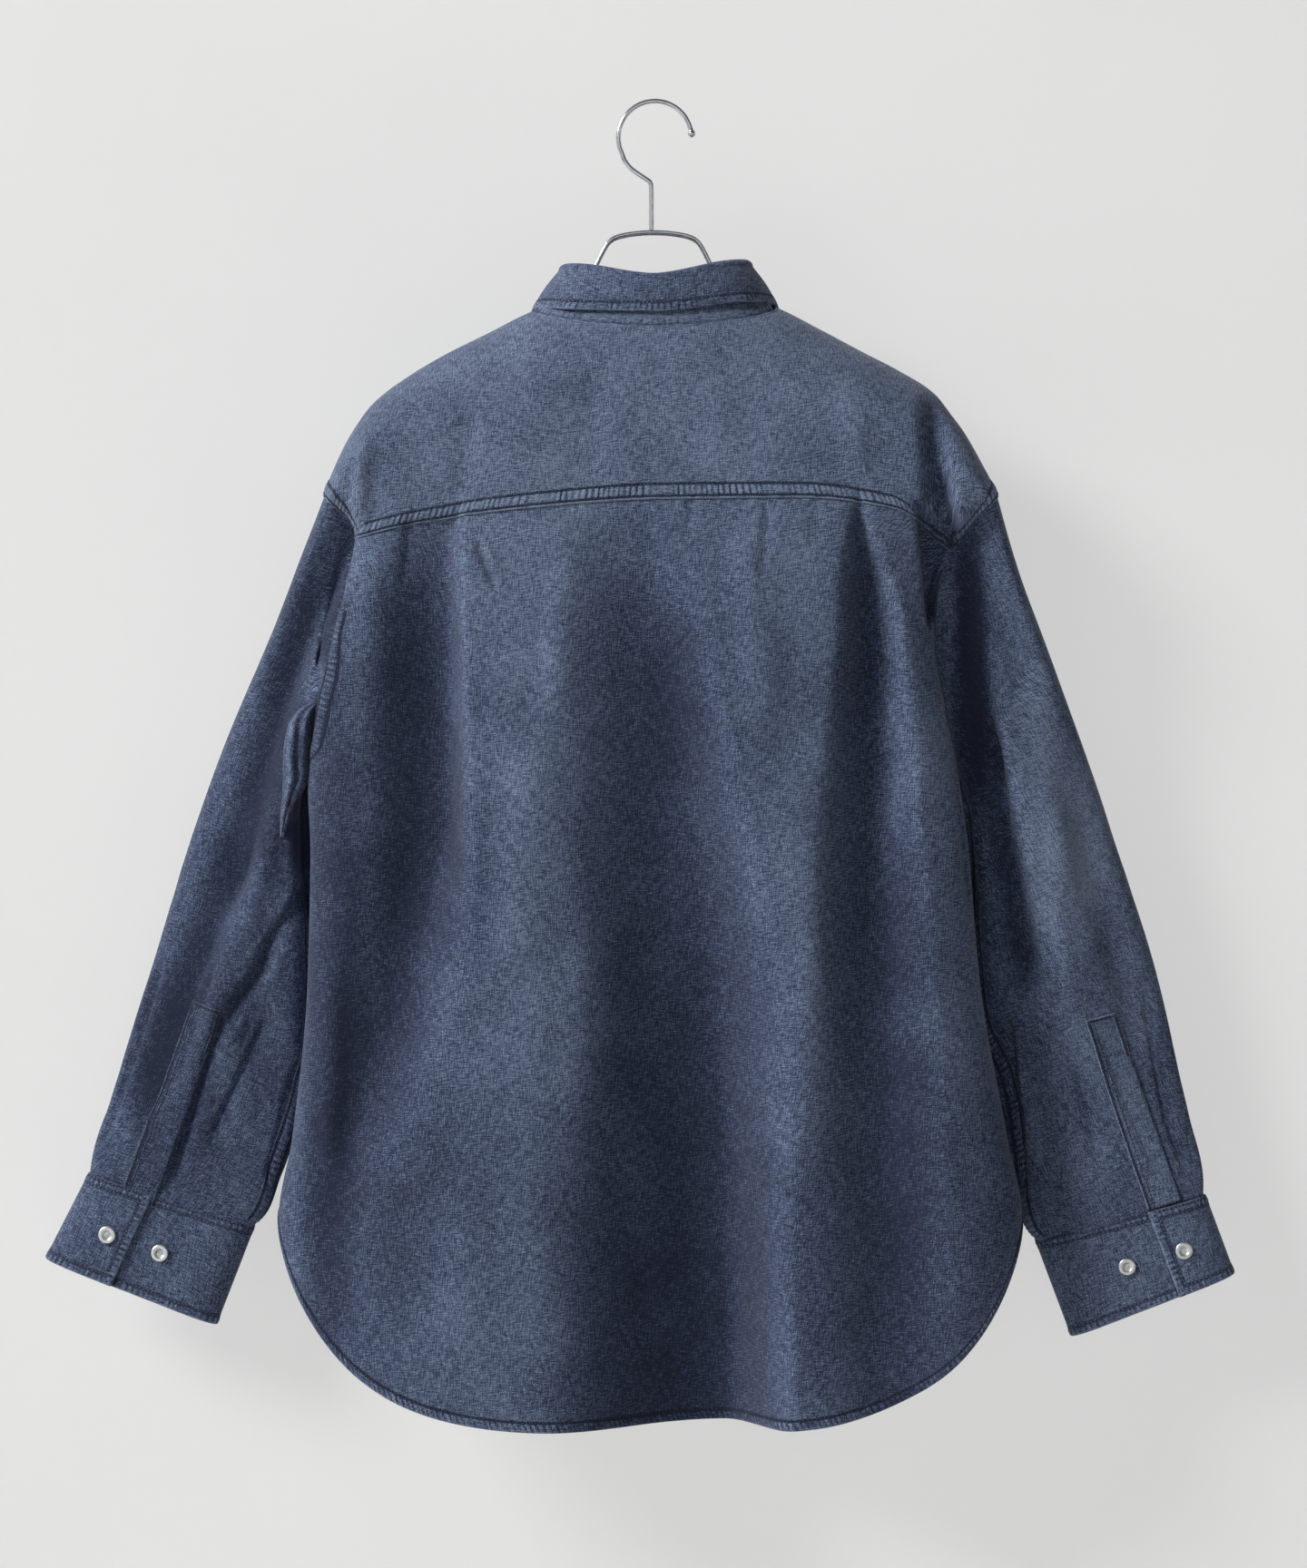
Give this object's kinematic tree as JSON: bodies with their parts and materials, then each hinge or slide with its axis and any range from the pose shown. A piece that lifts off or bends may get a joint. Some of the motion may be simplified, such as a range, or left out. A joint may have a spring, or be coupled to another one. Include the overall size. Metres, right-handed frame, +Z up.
{
  "type": "chambray shirt on a wire hanger",
  "caption": "Loose long-sleeved chambray shirt with a turned-down collar, back yoke, tucks and snap cuffs, hanging buttoned and hollow on a chrome wire hanger.",
  "frame": {"origin": "top of the inside of the hanger's hook, where it bears on a rail", "axes": "+Z up; -Y the back of the shirt and +Y its buttoned front; the wearer's left is at -X"},
  "size_m": [0.805, 0.1271, 0.8872],
  "materials": {
    "chambray": "plain-weave indigo chambray, washed, slightly slubby",
    "chambray_trim": "the same chambray doubled, with puckered topstitching",
    "snap": "polished ring with a pearly sunk middle",
    "chrome": "bright plated wire"
  },
  "bodies": {
    "root": {"back_panel": "chambray", "back_yoke": "chambray", "front_left": "chambray", "front_right": "chambray", "front_placket": "chambray_trim", "collar_stand": "chambray_trim", "collar_leaf": "chambray_trim", "collar_snap": "snap", "sleeve_left": "chambray", "sleeve_right": "chambray", "sleeve_placket_left": "chambray_trim", "sleeve_placket_right": "chambray_trim", "cuff_left": "chambray_trim", "cuff_right": "chambray_trim", "cuff_snap_left_1": "snap", "cuff_snap_left_2": "snap", "cuff_snap_right_1": "snap", "cuff_snap_right_2": "snap", "front_snap_1": "snap", "front_snap_2": "snap", "front_snap_3": "snap", "front_snap_4": "snap", "front_snap_5": "snap", "front_snap_6": "snap", "hanger_hook": "chrome", "hanger_frame": "chrome"}
  },
  "joints": []
}
